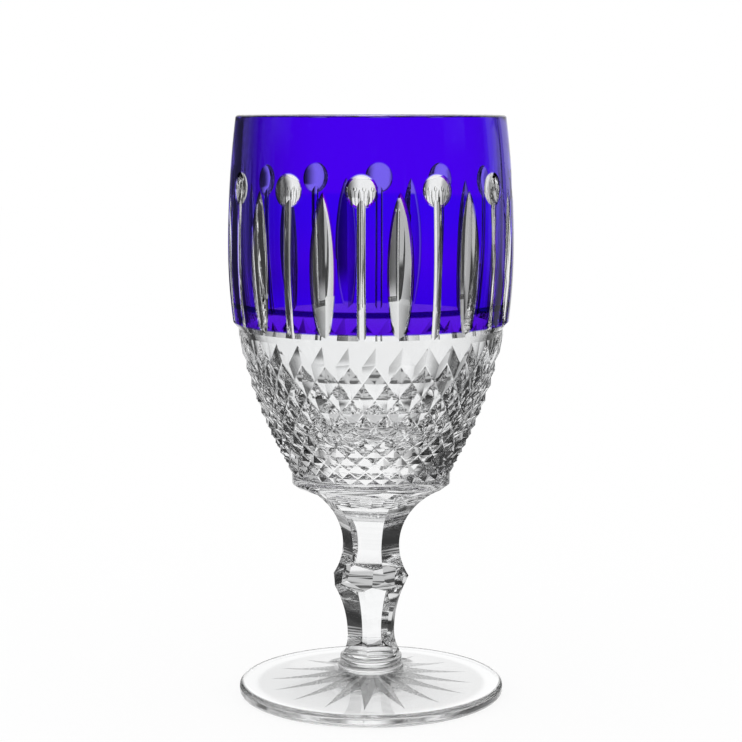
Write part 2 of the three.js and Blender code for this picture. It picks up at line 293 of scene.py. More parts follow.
class Finish:
    """A node tree under construction."""

    def __init__(self, tree):
        self.tree = tree
        tree.nodes.clear()

    def node(self, kind, sockets=None, output=0, **settings):
        """Adds a node of a type, sets its settings, then fills its sockets, and gives one of its outputs."""
        node = self.tree.nodes.new(kind)
        for name, value in settings.items():
            setattr(node, name, value)
        for place, value in (sockets or {}).items():
            socket = node.inputs[place]
            if isinstance(value, Wire):
                self.tree.links.new(value.socket, socket)
            else:
                socket.default_value = value
        return Wire(self, node.outputs[output]) if len(node.outputs) else None

    def blend(self, factor, first, second):
        """A colour between two colours."""
        sockets = {0: factor, 6: first, 7: second}
        return self.node("ShaderNodeMix", sockets, output=2, data_type="RGBA")

    def product(self, first, second):
        """Two colours multiplied."""
        sockets = {0: 1.0, 6: first, 7: second}
        return self.node("ShaderNodeMix", sockets, output=2, data_type="RGBA", blend_type="MULTIPLY")

    def smooth(self, value, low, high):
        """0 under low, 1 over high and a soft step between."""
        sockets = {0: value, 1: low, 2: high, 3: 0.0, 4: 1.0}
        return self.node("ShaderNodeMapRange", sockets, interpolation_type="SMOOTHSTEP")

    def between(self, value, start, end):
        """1 from one soft step to another."""
        return self.smooth(value, *start) * (1.0 - self.smooth(value, *end))

    def parts(self, vector):
        """The three numbers of a vector."""
        return [self.node("ShaderNodeSeparateXYZ", {0: vector}, output=place) for place in range(3)]

    def place(self):
        """Object coordinates, in metres."""
        return self.node("ShaderNodeTexCoord", output="Object")

    def round_place(self):
        """The three object coordinates, and the distance from the axis."""
        x, y, z = self.parts(self.place())
        return x, y, z, (x * x + y * y) ** 0.5

    def path(self, output):
        """What the light path tells of the ray that meets the surface."""
        return self.node("ShaderNodeLightPath", output=output)

    def past(self, counter, count):
        """1 where a counter of the light path is over a whole number."""
        return self.smooth(self.path(counter), count + 0.4, count + 0.6)

    def noise(self, scale, detail):
        """Even noise in the glass."""
        sockets = {"Vector": self.place(), "Scale": scale, "Detail": detail}
        return self.node("ShaderNodeTexNoise", sockets)

    def ripple(self, height, distance):
        """A normal that follows slow waves of a height in metres."""
        return self.node("ShaderNodeBump", {"Strength": 1.0, "Distance": distance, "Height": height})

    def glow(self, tone):
        """Light of a colour at a plain level."""
        return self.node("ShaderNodeEmission", {"Color": tone, "Strength": 1.0})

    def surface(self, shader):
        """Puts a shader on the material's output."""
        self.node("ShaderNodeOutputMaterial", {"Surface": shader})

    def glass(self, sockets):
        """Puts a Principled shader on the material's output."""
        self.surface(self.node("ShaderNodeBsdfPrincipled", sockets))


def rgba(values):
    """A colour with full alpha."""
    return (*values, 1.0)


def grey(tone):
    """A grey with full alpha."""
    return (tone, tone, tone, 1.0)


def new_finish(name):
    """A material with an empty node tree."""
    material = bpy.data.materials.new(name)
    material.use_nodes = True
    return material, Finish(material.node_tree)


# Glass

# Ripple is the height of slow waves in metres, polish the roughness of the wheel's trace, haze and clear
# come from grinding, and shade is painted shade that darkens a finish's colour
CRYSTAL_LOOKS = {
    "clear_crystal_bowl": {"ripple": 0.00003, "polish": 0.03},
    "clear_crystal_stem": {"ripple": 0.00002, "polish": 0.02},
    "clear_crystal_foot": {"ripple": 0.00003, "polish": 0.03},
    "ground_crystal_foot_painted_shade": {
        "ripple": 0.00003, "polish": 0.1, "haze": 0.05, "shade": 0.95, "clear": 0.95, "index": 1.4,
    },
    "satin_crystal_star_painted_shade": {"ripple": 0.00003, "polish": 0.1, "haze": 0.25, "shade": 0.55, "clear": 0.5},
}
SWIRL_SCALE = 45.0
GRAIN_SCALE = 900.0
GRAIN_STEP = (0.45, 0.8)
BLUE_SWIRL_SCALE = 30.0
BLUE_RIPPLE = 0.00004
BLUE_SPECULAR = (0.05, 0.02, 0.2, 1.0)

# Faces where pieces have melted together: most pass light untouched, a base also counts as a crossing
FUSED_LOOKS = {"fused_joint": {"Alpha": 0.0}, "fused_base": {"IOR": 1.0, "Roughness": 0.0}}

# Painted shade in a dark line under the rim: its depths in metres, and how upright a face's normal is that
# stays free of it
RIM_SHADE_DEPTHS = (0.9 * MM, 0.3 * MM)
RIM_TOP = (0.8, 0.95)

# Long cuts: how far in from the widest ring their floors lie, and how far a lens reaches down
CUT_FLOOR = (4.2 * MM, 3.4 * MM)
LENS_FOOT = 5.0 * MM

# Diamond field: its depth in from the tips, its two ends, a ray's run inside, and the slant to smooth it to
FIELD_SKIN = (-2.4 * MM, -2.2 * MM)
FIELD_START = (0.0, 0.01)
FIELD_END = (0.99, 1.0)
FIELD_RUN = (10 * MM, 14 * MM)
FIELD_SLANT = (0.3, 0.45)

# Painted shade of a dark line and triangles over the bevel: top, height and number, then steps as parts of
# the height
BANDS_TOP = 8.3 * MM
BANDS_HEIGHT = 9.7 * MM
BAND_POINTS = 24
LINE_START = (0.17, 0.21)
LINE_END = (0.34, 0.4)
POINT_TIP = 0.42
POINT_EDGE = (-0.06, 0.06)
POINT_END = (0.76, 0.84)
POINT_SLOPE = 1.5

# Blue casing: the part of its thickness over which a cut thins it to clear, the change of curve at its
# widest ring, and how far up and how unevenly the painted shade over the bevel fades
THINNING = (0.08, 1.0)
BELLY_STEP = (-0.01 * MM, 0.01 * MM)
PAINTED_SHADE_PART = 0.4
PAINTED_SHADE_WAVER = 0.02


def crystal_material(name, shape=None):
    """Clear crystal in one of its finishes: the bowl's shape adds what its far wall does, and painted shade
    in a dark line along its rim.
    """
    glass = bpy.context.scene.goblet_glass
    look = {"haze": 0.0, "shade": 1.0, "clear": 1.0, "index": glass.index, **CRYSTAL_LOOKS[name]}
    material, finish = new_finish(name)
    swirl = finish.noise(SWIRL_SCALE, 2.0)
    grain = finish.noise(GRAIN_SCALE, 3.0)
    # shade darkens the colour: painted shade on the ground dish and the satin star
    tint = finish.product(finish.blend(swirl, rgba(glass.crystal), WHITE), grey(look["shade"]))
    normal = finish.ripple(swirl, look["ripple"])
    if shape:
        upright = finish.parts(finish.node("ShaderNodeNewGeometry", output="Normal"))[2].math("ABSOLUTE")
        # Painted shade: a dark line along the rim's crest, kept off faces that look straight up
        crest = rim_shade_line(finish, shape) * (1.0 - finish.smooth(upright, *RIM_TOP))
        tint = finish.product(tint, far_stain(finish, shape))
        tint = finish.product(tint, finish.blend(crest, WHITE, rgba(glass.band_shade)))
        normal = far_field(finish, shape, normal)
    finish.glass({
        "Base Color": tint,
        "Roughness": look["haze"] + finish.smooth(grain, *GRAIN_STEP) * look["polish"],
        "IOR": look["index"],
        "Transmission Weight": look["clear"],
        "Normal": normal,
    })
    return material


def fused_material(name):
    """Fused glass, where two pieces have melted together and no surface is left to bend the light."""
    material = bpy.data.materials.get(name)
    if not material:
        material, finish = new_finish(name)
        finish.glass({"Base Color": WHITE, "Transmission Weight": 1.0, **FUSED_LOOKS[name]})
    return material


def rim_shade_line(finish, shape):
    """1 along the top of the rim, where a dark line of shade is painted."""
    height = finish.parts(finish.place())[2]
    return finish.smooth(height, *(shape.rim - depth for depth in RIM_SHADE_DEPTHS))


def far_stain(finish, shape):
    """Blue that the far wall's long cuts keep, seen through the near wall's blue."""
    z, reach = finish.round_place()[2:]
    band = shape.band_bottom
    lens_foot = shape.rim - bpy.context.scene.goblet_cuts.lens_below_rim - LENS_FOOT
    low = finish.between(z, (band, band + MM), (lens_foot - MM, lens_foot))
    outer = finish.smooth(reach, *(shape.sizes.belly_radius - depth for depth in CUT_FLOOR))
    behind = finish.past(CROSSED, 1) * finish.past(SKINS, 1) * (1.0 - finish.past(REFLECTED, 0))
    blue = [value * value for value in bpy.context.scene.goblet_glass.far_blue]
    return finish.blend(low * outer * behind, WHITE, rgba(blue))


def far_field(finish, shape, relief):
    """Normal of the field without its points, where a ray has already crossed the near wall."""
    sizes = shape.sizes
    x, y, z, reach = finish.round_place()
    t = (z - shape.lip_top) / sizes.field_height
    swell = 4.0 * sizes.field_bulge
    rise = sizes.neck_radius - shape.lip_radius
    tips = shape.lip_radius + t * rise + t * (1.0 - t) * swell
    lean = (rise + (1.0 - 2.0 * t) * swell) / sizes.field_height
    facing = 1.0 - 2.0 * finish.node("ShaderNodeNewGeometry", output="Backfacing")
    out = {0: x / reach * facing, 1: y / reach * facing}
    level = finish.node("ShaderNodeCombineXYZ", out)
    plain = finish.node("ShaderNodeCombineXYZ", {**out, 2: 0.0 - lean * facing})
    plain = finish.node("ShaderNodeVectorMath", {0: plain}, operation="NORMALIZE")
    field = finish.between(t, FIELD_START, FIELD_END) * finish.smooth(reach - tips, *FIELD_SKIN)
    inside = finish.smooth(finish.path("Ray Length"), *FIELD_RUN) * finish.past(TURNS, 0)
    later = inside.either(finish.past(TURNS, 1))
    through_blue = finish.past(CROSSED, 1) * finish.past(SKINS, 0)
    slant = finish.node("ShaderNodeLayerWeight", {"Blend": 0.5, "Normal": level}, output="Facing")
    calm = field * later * (1.0 - through_blue) * (1.0 - finish.smooth(slant, *FIELD_SLANT))
    return finish.node("ShaderNodeMix", {0: calm, 4: relief, 5: plain}, output=1, data_type="VECTOR")


def bevel_shade_bands(finish, shape):
    """Painted shade of a dark line and triangles over the bevel, standing in for the far cuts seen through
    where the wall thickens.
    """
    x, y, z = finish.parts(finish.place())
    down = (shape.band_bottom + BANDS_TOP - z) / BANDS_HEIGHT
    turn = x.math("ARCTAN2", y) * (BAND_POINTS / math.tau) + 0.5
    aside = (turn.math("FRACT") - 0.5).math("ABSOLUTE") * 2.0
    points = finish.smooth((down - POINT_TIP) * POINT_SLOPE - aside, *POINT_EDGE)
    points = points * (1.0 - finish.smooth(down, *POINT_END))
    return finish.between(down, LINE_START, LINE_END).either(points)


def thinned(finish, shape):
    """0 on the outside of the blue skin, and 1 where a cut runs through it."""
    sizes = shape.sizes
    z, reach = finish.round_place()[2:]
    rise = z - shape.belly
    above = finish.smooth(rise, *BELLY_STEP)
    curve = above * (0.5 / sizes.curve_above) + (1.0 - above) * (0.5 / sizes.curve_below)
    depth = sizes.belly_radius - rise * rise * curve - reach
    return finish.smooth(depth / sizes.casing_thickness, *THINNING)


def blue_shade(finish, shape, swirl):
    """Painted shade on the blue: darker towards the bevel, with the painted dark lines over the bevel and
    along the rim.
    """
    glass = bpy.context.scene.goblet_glass
    z = finish.parts(finish.place())[2]
    painted_shade_top = shape.belly + PAINTED_SHADE_PART * (shape.rim - shape.belly)
    level = finish.smooth(z + (swirl - 0.5) * PAINTED_SHADE_WAVER, shape.band_bottom, painted_shade_top)
    shaded = finish.blend(level, rgba(glass.low_shade), WHITE)
    for dark in (bevel_shade_bands(finish, shape), rim_shade_line(finish, shape)):
        shaded = finish.blend(dark, shaded, rgba(glass.band_shade))
    return shaded


def blue_material(shape):
    """Cobalt crystal: its colour depends on the walls that the light has crossed before this one."""
    glass = bpy.context.scene.goblet_glass
    material, finish = new_finish("cobalt_crystal")
    swirl = finish.noise(BLUE_SWIRL_SCALE, 3.0)
    through_stem = finish.past(SKINS, 2) * (1.0 - finish.past(CROSSED, 4))
    through_blue = finish.past(SKINS, 3) * (1.0 - finish.past(CROSSED, 3))
    far = finish.blend(through_stem, rgba(glass.far_cut), rgba(glass.deep_blue))
    far = finish.blend(through_blue, far, rgba(glass.far_blue))
    near = finish.blend(finish.past(CROSSED, 0), rgba(glass.near_blue), rgba(glass.deep_blue))
    near = finish.product(near, blue_shade(finish, shape, swirl))
    seen = finish.blend(finish.past(CROSSED, 1), near, far)
    seen = finish.blend(finish.past(REFLECTED, 0) * finish.past(CROSSED, 0), seen, rgba(glass.far_cut))
    tint = finish.blend(thinned(finish, shape), seen, WHITE)
    finish.glass({
        "Base Color": finish.product(tint, tint),
        "Specular Tint": BLUE_SPECULAR,
        "Roughness": 0.0,
        "IOR": glass.index,
        "Transmission Weight": 1.0,
        "Normal": finish.ripple(swirl, BLUE_RIPPLE),
    })
    return material


# Meshes

def spaced(low, high, count):
    """Evenly spaced numbers, both ends among them."""
    return [low + (high - low) * i / count for i in range(count + 1)]


def arc(radius, height, size, start, end):
    """Points of a round edge, between two directions in degrees up from the horizontal."""
    turns = [math.radians(value) for value in spaced(start, end, EDGE_STEPS)]
    return [(radius + size * math.cos(turn), height + size * math.sin(turn)) for turn in turns]


def rotate(bm, verts, turn, axis):
    """Turns vertices round an axis through the origin."""
    bmesh.ops.rotate(bm, verts=verts, cent=ORIGIN, matrix=Matrix.Rotation(turn, 3, axis))


def bevel(bm, edges, width, segments):
    """Bevels edges by a width."""
    bmesh.ops.bevel(
        bm, geom=edges, offset=width, offset_type="OFFSET", affect="EDGES", segments=segments, profile=0.5,
        material=-1, clamp_overlap=True,
    )


def spin(bm, outline, steps=ROUND_STEPS, start=FRONT, closed=False):
    """Spins an outline of radii and heights round Z, and gives the new faces."""
    old = set(bm.faces)
    verts = [bm.verts.new((radius, 0.0, height)) for radius, height in outline]
    edges = [bm.edges.new(pair) for pair in zip(verts, verts[1:])]
    if closed:
        edges.append(bm.edges.new((verts[-1], verts[0])))
    rotate(bm, verts, start, "Z")
    bmesh.ops.spin(
        bm, geom=verts + edges, cent=ORIGIN, axis=(0, 0, 1), dvec=ORIGIN, angle=2 * math.pi,
        steps=steps, use_merge=True, use_normal_flip=False, use_duplicate=False,
    )
    made = [vert for vert in bm.verts if any(face not in old for face in vert.link_faces)]
    bmesh.ops.remove_doubles(bm, verts=made, dist=WELD)
    return [face for face in bm.faces if face not in old]


def repeat_round(bm, count, offset=0.0):
    """Turns a tool to the front, and repeats it round the axis."""
    step = 2 * math.pi / count
    rotate(bm, bm.verts, FRONT + offset * step, "Z")
    bmesh.ops.spin(
        bm, geom=[*bm.verts, *bm.edges, *bm.faces], cent=ORIGIN, axis=(0, 0, 1), dvec=ORIGIN,
        angle=step * (count - 1), steps=count - 1,
        use_merge=False, use_normal_flip=False, use_duplicate=True,
    )
    bmesh.ops.recalc_face_normals(bm, faces=bm.faces)


def close_up(bm):
    """Merges doubles and turns every face outwards."""
    bmesh.ops.remove_doubles(bm, verts=bm.verts, dist=WELD)
    bmesh.ops.dissolve_degenerate(bm, edges=bm.edges, dist=WELD)
    bmesh.ops.recalc_face_normals(bm, faces=bm.faces)


def turned(outline, **options):
    """A closed bmesh of an outline spun round Z."""
    bm = bmesh.new()
    spin(bm, outline, **options)
    close_up(bm)
    return bm


def mark_fused(bm, fused):
    """Puts the fused material on the faces whose middles pass a test."""
    for face in bm.faces:
        face.material_index = FUSED if fused(face.calc_center_median()) else POLISHED


def to_object(bm, name, materials):
    """An object of a finished bmesh, with its materials."""
    mesh = bpy.data.meshes.new(name)
    bm.to_mesh(mesh)
    bm.free()
    for material in materials:
        mesh.materials.append(material)
    body = bpy.data.objects.new(name, mesh)
    bpy.context.scene.collection.objects.link(body)
    return body


def carve(body, tool, operation="DIFFERENCE"):
    """Puts a boolean's result into the body's own mesh, and removes the tool."""
    modifier = body.modifiers.new("carve", "BOOLEAN")
    modifier.object = tool
    modifier.operation = operation
    modifier.solver = "MANIFOLD"
    modifier.material_mode = "TRANSFER"
    graph = bpy.context.evaluated_depsgraph_get()
    made = bpy.data.meshes.new_from_object(body.evaluated_get(graph), depsgraph=graph)
    body.modifiers.clear()
    old = body.data
    body.data = made
    bpy.data.meshes.remove(old)
    made.name = body.name
    bpy.data.objects.remove(tool)


def smooth_faces(body, limit=CUT_EDGE):
    """Smooth faces with crisp edges over an angle."""
    body.data.shade_smooth()
    body.data.set_sharp_from_angle(angle=math.radians(limit))


def settle(body, node):
    """The piece stands for its CAD node, and moves with the glass."""
    body.data.update()
    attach(body, "root")
    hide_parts(node)


# Bowl and casing

class BowlShape:
    """Radii and levels of the bowl, worked out from its sizes."""

    def __init__(self, sizes):
        low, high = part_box("bowl_liner")
        self.sizes = sizes
        self.joint = low.z
        self.rim = high.z
        self.lip_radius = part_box("stem")[1].x
        self.lip_top = self.joint + sizes.lip_height
        self.shoulder = self.lip_top + sizes.field_height
        self.neck_top = self.shoulder + sizes.neck_height
        self.band_bottom = self.neck_top + sizes.bevel_height
        self.belly = self.band_bottom + sizes.belly_above_bevel
        self.rim_edge = self.rim - sizes.rim_round

    def band(self, height):
        """Outside of the blue band."""
        curve = self.sizes.curve_above if height > self.belly else self.sizes.curve_below
        return self.sizes.belly_radius - (height - self.belly) ** 2 / (2 * curve)

    def field(self, height):
        """Tips of the diamonds."""
        t = (height - self.lip_top) / self.sizes.field_height
        straight = self.lip_radius + (self.sizes.neck_radius - self.lip_radius) * t
        return straight + self.sizes.field_bulge * 4 * t * (1 - t)

    def bevel(self, radius):
        """Height at which the bevel under the band has a radius."""
        out = (radius - self.sizes.neck_radius) / (self.band(self.band_bottom) - self.sizes.neck_radius)
        return self.neck_top + out * self.sizes.bevel_height

    def wall_line(self, height):
        """Inside of the wall over the shoulder."""
        t = (height - self.shoulder) / (self.rim - self.shoulder)
        wall = self.sizes.field_wall + (self.sizes.rim_wall - self.sizes.field_wall) * t
        return self.band(height) - wall

    def inside(self, height):
        """Inside of the bowl, with a round floor that meets the wall in line."""
        if height >= self.shoulder:
            return self.wall_line(height)
        depth = self.shoulder - self.joint - self.sizes.floor_thickness
        u = min(1.0, (self.shoulder - height) / depth)
        slope = (self.wall_line(self.shoulder + MM) - self.wall_line(self.shoulder)) / MM
        return self.wall_line(self.shoulder) * math.sqrt(1 - u * u) - slope * depth * u * (1 - u)

    def crest(self, start):
        """Round top of the rim, from a radius to the inside, at its outer edge's height and up."""
        out = self.band(self.rim_edge)
        middle = (out + self.inside(self.rim_edge)) / 2
        half = out - middle
        first = math.acos((start - middle) / half)
        return [
            (middle + half * math.cos(turn), self.rim_edge + self.sizes.rim_round * math.sin(turn))
            for turn in spaced(first, math.pi, 2 * EDGE_STEPS)
        ]

    def rows(self, count):
        """Heights of the diamond rows: each step follows the square of the radius."""
        samples = spaced(self.lip_top, self.shoulder, FIELD_STEPS)
        reach = [0.0]
        for low, high in zip(samples, samples[1:]):
            step = math.hypot(high - low, self.field(high) - self.field(low))
            reach.append(reach[-1] + step / self.field(high) ** 2)
        heights = []
        for k in range(1, count):
            goal = reach[-1] * k / count
            i = next(place for place, value in enumerate(reach) if value >= goal)
            t = (goal - reach[i - 1]) / (reach[i] - reach[i - 1])
            heights.append(samples[i - 1] + (samples[i] - samples[i - 1]) * t)
        return heights

    def outline(self, skin):
        """The clear wall from the neck up under the blue skin, over the rim and down to the floor inside."""
        bevel_top = self.band(self.band_bottom) - skin
        crest = self.crest(self.band(self.rim_edge) - skin)
        floor = self.joint + self.sizes.floor_thickness
        levels = spaced(self.band_bottom, self.rim_edge, ROW_STEPS)
        outside = [(self.band(height) - skin, height) for height in levels]
        levels = spaced(self.rim_edge, self.shoulder, ROW_STEPS)
        turns = spaced(0.0, math.pi / 2, ROW_STEPS)[1:-1]
        levels += [self.shoulder + (floor - self.shoulder) * math.sin(turn) for turn in turns]
        inside = [(self.inside(height), height) for height in levels]
        neck = [(self.sizes.neck_radius, self.neck_top), (bevel_top, self.bevel(bevel_top))]
        return neck + outside + crest[:-1] + inside + [(0.0, floor)]


def lens_tool(bm, shape, cuts):
    """A round wheel over the middle of a lens."""
    height = shape.rim - cuts.lens_below_rim
    out = shape.band(height) + cuts.lens_wheel - cuts.lens_depth
    bmesh.ops.create_uvsphere(bm, u_segments=LENS_STEPS, v_segments=ROW_STEPS, radius=cuts.lens_wheel)
    rotate(bm, bm.verts, math.pi / 2, "Y")
    bmesh.ops.translate(bm, verts=bm.verts, vec=(out, 0.0, height))


def long_tool(bm, sides, low, high, steps):
    """A prism of unit radius along Z, cut into short lengths."""
    bmesh.ops.create_cone(
        bm, cap_ends=True, cap_tris=False, segments=sides, radius1=1.0, radius2=1.0, depth=high - low
    )
    bmesh.ops.translate(bm, verts=bm.verts, vec=(0.0, 0.0, (low + high) / 2))
    rotate(bm, bm.verts, math.pi / 2, "Z")
    upright = [edge for edge in bm.edges if abs(edge.verts[0].co.z - edge.verts[1].co.z) > WELD]
    bmesh.ops.subdivide_edges(bm, edges=upright, cuts=steps - 1, use_grid_fill=False)


def pin_tool(bm, shape, cuts):
    """A round groove from the middle of a lens down the band, running out in the bevel."""
    long_tool(bm, PIN_STEPS, shape.neck_top, shape.rim - cuts.lens_below_rim, ROW_STEPS)
    for vert in bm.verts:
        vert.co.x = vert.co.x * cuts.pin_wheel + shape.band(vert.co.z) - cuts.pin_sink
        vert.co.y *= cuts.pin_wheel


def lancet_tool(bm, shape, cuts):
    """A leaf-shaped mitre whose V grows deeper towards the middle of its length."""
    tip = shape.rim - cuts.lancet_below_rim
    long_tool(bm, 3, tip - cuts.lancet_length, tip, 2 * ROW_STEPS)
    for vert in bm.verts:
        t = 1 - (tip - vert.co.z) / cuts.lancet_length
        depth = cuts.lancet_depth * max(0.0, 4 * t * (1 - t)) ** cuts.lancet_fullness
        mouth = (depth + cuts.tool_reach) * math.tan(cuts.lancet_angle)
        ridge = abs(vert.co.y) < RIDGE_PART
        vert.co.x = shape.band(vert.co.z) + (-depth if ridge else cuts.tool_reach)
        vert.co.y = 0.0 if ridge else math.copysign(mouth, vert.co.y)


def cut_band(body, shape, cuts, glass):
    """Cuts three rows of wheels round the bowl: the pins, the lenses and the lancets between them."""
    tools = []
    for maker, offset in ((pin_tool, 0.0), (lens_tool, 0.0), (lancet_tool, 0.5)):
        bm = bmesh.new()
        maker(bm, shape, cuts)
        repeat_round(bm, cuts.cut_count, offset)
        tools.append(to_object(bm, "wheel", [glass]))
    for tool in tools:
        carve(body, tool)


def ring_edges(bm, reach, height):
    """Open edges of a ring at a radius and a height."""
    found = []
    for edge in bm.edges:
        if edge.is_boundary and all(
            abs(vert.co.z - height) < RING_SLACK and abs(vert.co.xy.length - reach) < RING_SLACK
            for vert in edge.verts
        ):
            found.append(edge)
    return found


def diamond_field(bm, shape, cuts):
    """Rows of four-sided points: every second vertex of a spun net sinks, and quads split on the valleys."""
    rows = [shape.lip_top, *shape.rows(cuts.diamond_steps), shape.shoulder]
    around = 2 * cuts.diamonds_around
    faces = spin(bm, [(shape.field(height), height) for height in rows], steps=around)
    sunk = set()
    for vert in bm.verts:
        row = min(range(len(rows)), key=lambda k: abs(rows[k] - vert.co.z))
        if row in (0, len(rows) - 1):
            continue
        column = round((math.atan2(vert.co.y, vert.co.x) - FRONT) / (2 * math.pi) * around)
        if (column + row) % 2 == 0:
            sunk.add(vert)
    for vert in sunk:
        reach = vert.co.xy.length
        vert.co.xy *= (reach - cuts.diamond_depth) / reach
    bmesh.ops.triangulate(bm, faces=faces, quad_method="SHORT_EDGE", ngon_method="BEAUTY")
    valleys = [edge for edge in bm.edges if all(vert in sunk for vert in edge.verts)]
    bevel(bm, valleys, cuts.diamond_valley, 1)


def flat_facets(body, shape):
    """Takes the smoothing off the facets of the diamonds."""
    for face in body.data.polygons:
        out = face.center.xy.length > shape.field(face.center.z) + FIELD_SKIN[1]
        if shape.lip_top < face.center.z < shape.shoulder and out:
            face.use_smooth = False


class GOBLET_OT_bowl(bpy.types.Operator):
    """Clear bowl: lip, diamond field, neck, cut wall, rim and round inside"""

    bl_idname = "goblet.bowl"
    bl_label = "Clear Bowl"

    def execute(self, context):
        sizes = context.scene.goblet_bowl
        cuts = context.scene.goblet_cuts
        shape = BowlShape(sizes)
        skin = sizes.casing_thickness + sizes.bond
        edge = sizes.lip_edge
        lip = [(0.0, shape.joint), (shape.lip_radius, shape.joint)]
        lip += arc(shape.lip_radius - edge, shape.lip_top - edge, edge, 0, LIP_TURN)
        bm = bmesh.new()
        diamond_field(bm, shape, cuts)
        spin(bm, lip)
        spin(bm, shape.outline(skin))
        for low_ring, high_ring in (
            (lip[-1], (shape.lip_radius, shape.lip_top)),
            ((sizes.neck_radius, shape.shoulder), (sizes.neck_radius, shape.neck_top)),
        ):
            bmesh.ops.bridge_loops(bm, edges=ring_edges(bm, *low_ring) + ring_edges(bm, *high_ring))
        close_up(bm)
        self.mark_faces(bm, shape, skin)
        glass = crystal_material("clear_crystal_bowl", shape)
        fused = [fused_material("fused_joint"), fused_material("fused_base")]
        body = to_object(bm, "bowl_clear_crystal", [glass, *fused])
        cut_band(body, shape, cuts, glass)
        smooth_faces(body)
        flat_facets(body, shape)
        settle(body, "bowl_liner")
        return {"FINISHED"}

    def mark_faces(self, bm, shape, skin):
        """Fused faces under the blue skin and on the stem."""
        crest_start = shape.crest(shape.band(shape.rim_edge) - skin)[0][1]
        for face in bm.faces:
            middle = face.calc_center_median()
            on_band = shape.band_bottom < middle.z < crest_start
            skin_side = on_band and middle.xy.length > shape.band(middle.z) - skin - SKIN_SLACK
            joint_side = middle.z < shape.joint + WELD
            face.material_index = UNDERSIDE if joint_side else FUSED if skin_side else POLISHED


class GOBLET_OT_casing(bpy.types.Operator):
    """Blue casing over the band, cut through in lenses, pins and lancets"""

    bl_idname = "goblet.casing"
    bl_label = "Blue Casing"

    def execute(self, context):
        cuts = context.scene.goblet_cuts
        shape = BowlShape(context.scene.goblet_bowl)
        skin = shape.sizes.casing_thickness
        heel = shape.band(shape.band_bottom) - skin
        edge = shape.band(shape.rim_edge)
        crest = [point for point in shape.crest(edge)[1:] if point[0] > edge - CREST_PART * skin]
        crest.append(shape.crest(edge - skin)[0])
        levels = spaced(shape.band_bottom, shape.rim_edge, ROW_STEPS)
        outside = [(shape.band(height), height) for height in levels]
        inside = [(shape.band(height) - skin, height) for height in reversed(levels)]
        bm = turned([(heel, shape.bevel(heel)), *outside, *crest, *inside], closed=True)
        inner = INNER_PART * skin
        mark_fused(bm, lambda at: at.xy.length < shape.band(min(at.z, shape.rim_edge)) - inner)
        glass = blue_material(shape)
        body = to_object(bm, "blue_crystal_casing", [glass, fused_material("fused_joint")])
        cut_band(body, shape, cuts, glass)
        smooth_faces(body)
        settle(body, "colour_casing")
        return {"FINISHED"}


# Stem

def seat_radius(stem):
    """Round part of the seat that the stem and the collar share, inside the flats at the stem's foot."""
    sweep = math.asin(stem.lower_waist_height / stem.toe_wheel)
    return stem.lower_waist + stem.toe_wheel * (1 - math.cos(sweep))


def polish_edges(body, low, high, width):
    """Narrow polished bevels on the crisp edges between the flutes."""
    bm = bmesh.new()
    bm.from_mesh(body.data)
    bmesh.ops.dissolve_degenerate(bm, edges=bm.edges, dist=WELD)
    crisp = []
    for edge in bm.edges:
        level = [vert.co.z for vert in edge.verts]
        if low + WELD < min(level) and max(level) < high - WELD and len(edge.link_faces) == 2:
            if edge.calc_face_angle() > math.radians(FLUTE_EDGE):
                crisp.append(edge)
    bevel(bm, crisp, width, 2)
    bmesh.ops.recalc_face_normals(bm, faces=bm.faces)
    bm.to_mesh(body.data)
    bm.free()


def flute_flank(height, apothem, wheel, limit, direction):
    """Apothems and heights along one side of a flute, as its wheel curves away from the waist."""
    sweep = math.acos(1 - min(limit - apothem, wheel) / wheel)
    points = [
        (apothem + wheel * (1 - math.cos(turn)), height + direction * wheel * math.sin(turn))
        for turn in spaced(0.0, sweep, FLUTE_STEPS)
    ]
    return points[:0:-1] if direction < 0 else points


def fluted_prism(sides, flank, reach, turn, glass):
    """A prism whose flats follow a flank, running on past both of its ends."""
    corner = 1 / math.cos(math.pi / sides)
    flank = [(flank[0][0], flank[0][1] - reach), *flank, (flank[-1][0], flank[-1][1] + reach)]
    outline = [(apothem * corner, height) for apothem, height in flank]
    outline = [(0.0, outline[0][1]), *outline, (0.0, outline[-1][1])]
    return to_object(turned(outline, steps=sides, start=FRONT + turn), "flutes", [glass])


class GOBLET_OT_stem(bpy.types.Operator):
    """Stem: a round blank cut by flutes over and under the knop"""

    bl_idname = "goblet.stem"
    bl_label = "Faceted Stem"

    def execute(self, context):
        stem = context.scene.goblet_stem
        low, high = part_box("stem")
        lip = high.x
        seat = seat_radius(stem)
        blank = [(0.0, low.z), (seat, low.z), (stem.blank_radius, low.z)]
        blank += [(stem.blank_radius, high.z - stem.cone_height), (lip, high.z), (0.0, high.z)]
        glass = crystal_material("clear_crystal_stem")
        body = to_object(turned(blank), "stem_clear_crystal", [glass, fused_material("fused_joint")])
        limit = lip + FLUTE_CLEAR
        upper = (low.z + stem.upper_waist_height, stem.upper_waist)
        lower = (low.z + stem.lower_waist_height, stem.lower_waist)
        for waist, under, over, turn in (
            (upper, stem.upper_wheel, stem.upper_wheel, stem.turn + math.pi / stem.sides),
            (lower, stem.toe_wheel, stem.lower_wheel, stem.turn),
        ):
            flank = flute_flank(*waist, under, limit, -1) + flute_flank(*waist, over, limit, 1)
            carve(body, fluted_prism(stem.sides, flank, high.z - low.z, turn, glass), "INTERSECT")
        polish_edges(body, low.z, high.z, stem.edge)
        for face in body.data.polygons:
            top = face.center.z > high.z - WELD
            base = face.center.z < low.z + WELD and face.center.xy.length < seat
            face.material_index = FUSED if top or base else POLISHED
        smooth_faces(body)
        settle(body, "stem")
        return {"FINISHED"}


# Foot and collar

